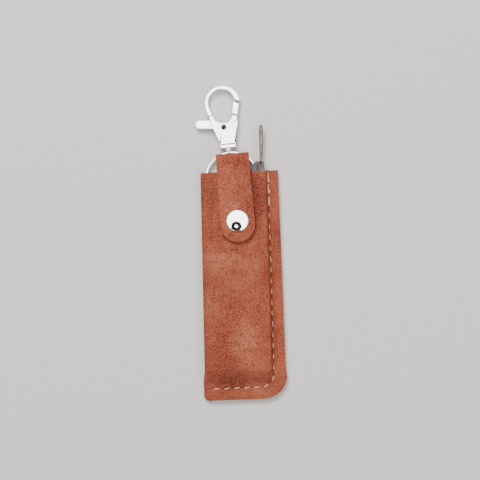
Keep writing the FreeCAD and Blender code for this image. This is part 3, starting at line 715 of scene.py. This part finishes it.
def stitch_mesh(run, length, surface, way_up, points, faces, seed):
    """One stitch of two twisted plies that comes up out of one hole and goes down the next."""
    steps, sides = 14, 7
    doubled = length > 3
    core = 0.34 if doubled else 0.21
    slant = 0.16 if way_up > 0 else -0.16
    knot = 0.5 if doubled and way_up > 0 and 8 < run < 9 else 0.0
    plies = 3 if doubled else 2
    for ply in range(plies):
        base = len(points)
        for k in range(steps + 1):
            share = k / steps
            place, way = seam_station(run + (share - 0.5) * (length + 0.3))
            side = Vector((-way.y, way.x, 0))
            sway = slant * (share - 0.5) * 2 + 0.05 * math.sin(seed * 2.3)
            arch = math.sin(math.pi * share) ** 0.55
            height = surface + way_up * (arch * 0.62 - 0.42)
            if doubled:
                sway += 0.14 * math.sin(3 * math.pi * share + seed)
            bulge = 1 + knot * math.exp(-(((share - 0.75) / 0.16) ** 2))
            middle = Vector((place.x, place.y, height)) + side * sway
            turn = 2.4 * math.pi * share * length / 2.3 + ply * 2 * math.pi / plies + seed
            twist = (bulge * core * math.cos(turn), bulge * core * 0.6 * math.sin(turn))
            points += ply_points(middle, side, Vector((0, 0, 1)), twist, bulge * core * 0.9, sides)
        for k in range(steps):
            for s in range(sides):
                a, b = base + k * sides + s, base + k * sides + (s + 1) % sides
                faces.append((a, b, b + sides, a + sides))
        faces.append(tuple(base + s for s in reversed(range(sides))))
        faces.append(tuple(base + steps * sides + s for s in range(sides)))


def make_thread(name, node, surface, way_up):
    points, faces = [], []
    for number, (run, length) in enumerate(seam_stitches()):
        stitch_mesh(run, length, surface, way_up, points, faces, number * 1.7)
    piece = mesh_piece(name, points, faces, "sheath", thread)
    tidy_normals(piece)
    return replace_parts(piece, node)


# ---------------------------------------------------------------- metal pieces


def dress(node, material, width=0.0):
    """Gives a CAD piece its finish and, where it has sharp edges, softly rounded ones."""
    piece = nodes[node]
    piece.data.materials.clear()
    piece.data.materials.append(material)
    for polygon in piece.data.polygons:
        polygon.use_smooth = True
    if width:
        weld = piece.modifiers.new("weld", "WELD")
        weld.merge_threshold = 1e-7
        flat = piece.modifiers.new("flat", "DECIMATE")
        flat.decimate_type = "DISSOLVE"
        flat.angle_limit = math.radians(0.6)
        bevel = piece.modifiers.new("round", "BEVEL")
        bevel.width = width * MM
        bevel.segments = 3
        bevel.limit_method = "ANGLE"
        bevel.angle_limit = math.radians(35)
        bevel.use_clamp_overlap = False
    shade = piece.modifiers.new("shade", "WEIGHTED_NORMAL")
    shade.keep_sharp = True
    return piece


chrome = plated("chrome", (0.90, 0.87, 0.86, 1), (0.74, 0.71, 0.70, 1), 0.10)
cap_chrome = plated("cap_chrome", (0.90, 0.88, 0.87, 1), (0.82, 0.79, 0.78, 1), 0.06, 0.01)
nickel = plated("ring_nickel", (0.80, 0.78, 0.76, 1), (0.62, 0.60, 0.58, 1), 0.14)
snap_steel = plated("snap_steel", (0.62, 0.60, 0.58, 1), (0.45, 0.44, 0.42, 1), 0.25)
spring_wire = drawn_steel("spring_wire", (0.55, 0.54, 0.53, 1), (0.35, 0.34, 0.33, 1), 0.3)
pin_steel = drawn_steel("pin_steel", (0.035, 0.025, 0.03, 1), (0.015, 0.01, 0.012, 1), 0.5)
pick_steel = drawn_steel("pick_steel", (0.095, 0.08, 0.075, 1), (0.055, 0.045, 0.042, 1), 0.5)
shank_steel = drawn_steel("shank_steel", (0.10, 0.088, 0.085, 1), (0.05, 0.042, 0.04, 1), 0.3)


def dress_metal():
    dress("clasp_body", chrome, 0.5)
    dress("gate_lever", chrome, 0.45)
    dress("gate_pin", pin_steel, 0.1)
    coil = dress("gate_spring", spring_wire)
    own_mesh(coil)
    dress("swivel_eye", chrome)
    dress("split_ring", nickel, 0.3)
    dress("snap_cap", cap_chrome)
    dress("snap_socket", snap_steel, 0.08)
    dress("snap_stud", snap_steel)
    dress("snap_post", snap_steel, 0.08)
    dress("snap_spring", spring_wire)
    dress("pick_handle", pick_steel, 0.18)
    dress("pick_shank", shank_steel, 0.3)
    dress("pick_rivets", pin_steel)


# ---------------------------------------------------------------- light, floor, camera


def make_floor():
    mesh = bpy.data.meshes.new("floor")
    half = 1.5
    corners = [(-half, -half, 0), (half, -half, 0), (half, half, 0), (-half, half, 0)]
    mesh.from_pydata(corners, [], [(0, 1, 2, 3)])
    floor = put_in_scene("floor", mesh)
    m = Nodes("pale_floor")
    grain = m.noise(m.cad_place(), 400, 3, 0.6)
    color = m.mix(m.spread(grain, 0.3, 0.7), (0.78, 0.775, 0.76, 1), (0.82, 0.815, 0.80, 1))
    mesh.materials.append(m.finish(color, 0.9))
    floor.location.z = -0.0003


def area_light(name, place, target, size, power, color=(1, 1, 1)):
    light = bpy.data.lights.new(name, "AREA")
    light.shape = "DISK"
    light.size = size
    light.energy = power
    light.color = color
    lamp = put_in_scene(name, light)
    lamp.location = place
    lamp.rotation_euler = (Vector(target) - Vector(place)).to_track_quat("-Z", "Y").to_euler()
    return lamp


def make_light():
    """Lamps that light the leather, and one lit panel overhead that only reflections see."""
    middle = (0, 0.02, 0.005)
    key = area_light("key", (-0.22, 0.7, 0.9), middle, 0.5, 12.5, (1.0, 0.98, 0.95))
    fill = area_light("fill", (0.7, -0.3, 0.8), middle, 0.9, 2.0, (0.96, 0.98, 1.0))
    soft = area_light("soft", (0, 0.1, 1.5), middle, 2.4, 16, (1.0, 0.99, 0.98))
    for lamp in (key, fill, soft):
        lamp.visible_glossy = False
    panel = area_light("panel", (0, 0.05, 1.3), (0, 0.05, 0), 3.2, 155)
    panel.visible_diffuse = False
    make_flag()
    make_world()


def make_flag():
    """A dark hoop in front of the overhead light, which only reflections see."""
    steps, inner, outer = 48, 0.07, 0.25
    points, faces = [], []
    for k in range(steps):
        angle = 2 * math.pi * k / steps
        out = (math.cos(angle), math.sin(angle))
        points += [(out[0] * r, out[1] * r, 0) for r in (inner, outer)]
        a, b = 2 * k, 2 * ((k + 1) % steps)
        faces.append((a, a + 1, b + 1, b))
    mesh = bpy.data.meshes.new("flag")
    mesh.from_pydata(points, [], faces)
    flag = put_in_scene("flag", mesh)
    m = Nodes("flag_cloth")
    weave = m.noise(m.cad_place(), 200)
    black = m.mix(weave, (0.004, 0.004, 0.004, 1), (0.008, 0.008, 0.008, 1))
    mesh.materials.append(m.finish(black, 1.0))
    flag.location = (-0.06, -0.22, 0.45)
    flag.rotation_euler = (Vector((0, 0.03, 0)) - flag.location).to_track_quat("-Z", "Y").to_euler()
    for ray in ("camera", "diffuse", "shadow", "transmission"):
        setattr(flag, "visible_" + ray, False)


def make_world():
    """Soft light from above that falls off towards the horizon."""
    world = bpy.data.worlds.new("studio")
    bpy.context.scene.world = world
    world.use_nodes = True
    tree = world.node_tree
    background = next(n for n in tree.nodes if n.type == "BACKGROUND")
    place = tree.nodes.new("ShaderNodeTexCoord")
    split = tree.nodes.new("ShaderNodeSeparateXYZ")
    tree.links.new(place.outputs["Generated"], split.inputs[0])
    fall = tree.nodes.new("ShaderNodeMapRange")
    fall.interpolation_type = "SMOOTHSTEP"
    fall.inputs["From Min"].default_value = 0.2
    fall.inputs["From Max"].default_value = 0.95
    fall.inputs["To Min"].default_value = 0.05
    fall.inputs["To Max"].default_value = 0.22
    tree.links.new(split.outputs["Z"], fall.inputs["Value"])
    tree.links.new(fall.outputs["Result"], background.inputs["Strength"])
    background.inputs["Color"].default_value = (1.0, 0.99, 0.98, 1)


def make_camera():
    data = bpy.data.cameras.new("camera")
    data.lens = data.sensor_width * CAMERA_DISTANCE / VIEW_WIDTH
    camera = put_in_scene("camera", data)
    camera.location = (-0.0006, 0.02075, CAMERA_DISTANCE + 0.005)
    camera.rotation_euler = (0, 0, math.radians(-1.75))
    bpy.context.scene.camera = camera


make_sheath()
make_strap()
make_root_fillets()
make_thread("needle_stitches", "needle_thread", 2 * LEATHER, 1)
make_thread("bobbin_stitches", "bobbin_thread", 0.52, -1)
dress_metal()
make_floor()
make_light()
make_camera()
